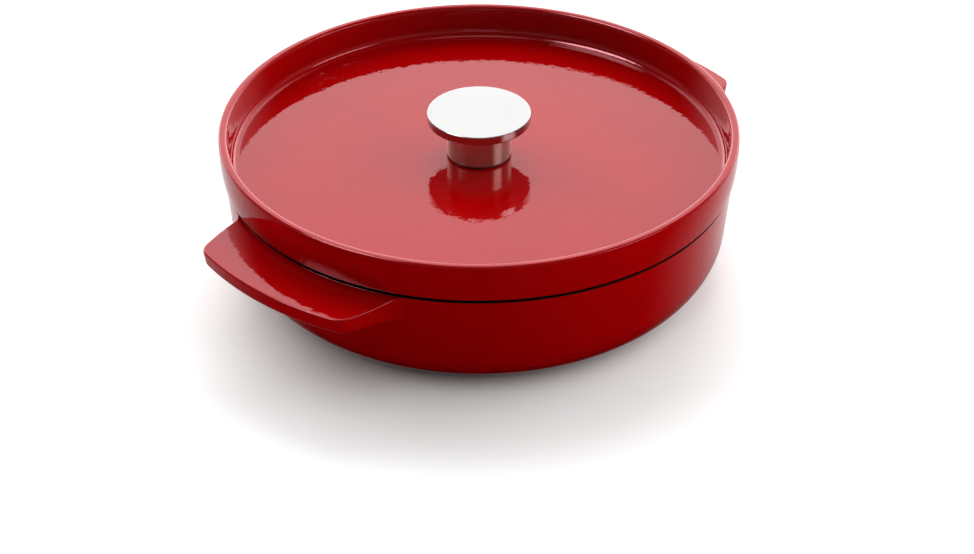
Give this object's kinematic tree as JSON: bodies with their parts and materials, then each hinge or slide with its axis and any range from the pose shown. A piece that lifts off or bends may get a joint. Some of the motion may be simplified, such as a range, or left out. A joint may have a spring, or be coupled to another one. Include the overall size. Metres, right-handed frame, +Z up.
{
  "type": "cast iron pot",
  "caption": "Shallow round cast iron pot in gloss red enamel, with flat cast side handles and a lift-off lid: a flat plate in a tall rim, with a steel knob on a short round stem.",
  "frame": {"origin": "middle of the base, on the surface that the pot stands on", "axes": "+Z up through the knob, X through the two side handles"},
  "size_m": [0.3504, 0.2924, 0.095],
  "materials": {
    "red_enamel": "gloss vitreous enamel over cast iron",
    "brushed_steel": "fine turned brushing",
    "plain_steel": "satin",
    "silicone": "matte"
  },
  "bodies": {
    "pot": {"pot_body": "red_enamel"},
    "lid_assembly": {"lid": "red_enamel", "knob_cap": "brushed_steel", "knob_stem": "brushed_steel", "knob_threaded_bush": "plain_steel", "knob_gasket": "silicone", "knob_screw": "plain_steel", "knob_flat_washer": "plain_steel", "knob_lock_washer": "plain_steel"}
  },
  "joints": [
    {"name": "lid_lift", "type": "slide", "parent": "pot", "child": "lid_assembly", "axis": [0, 0, 1], "range_m": [0, 0.15]}
  ]
}
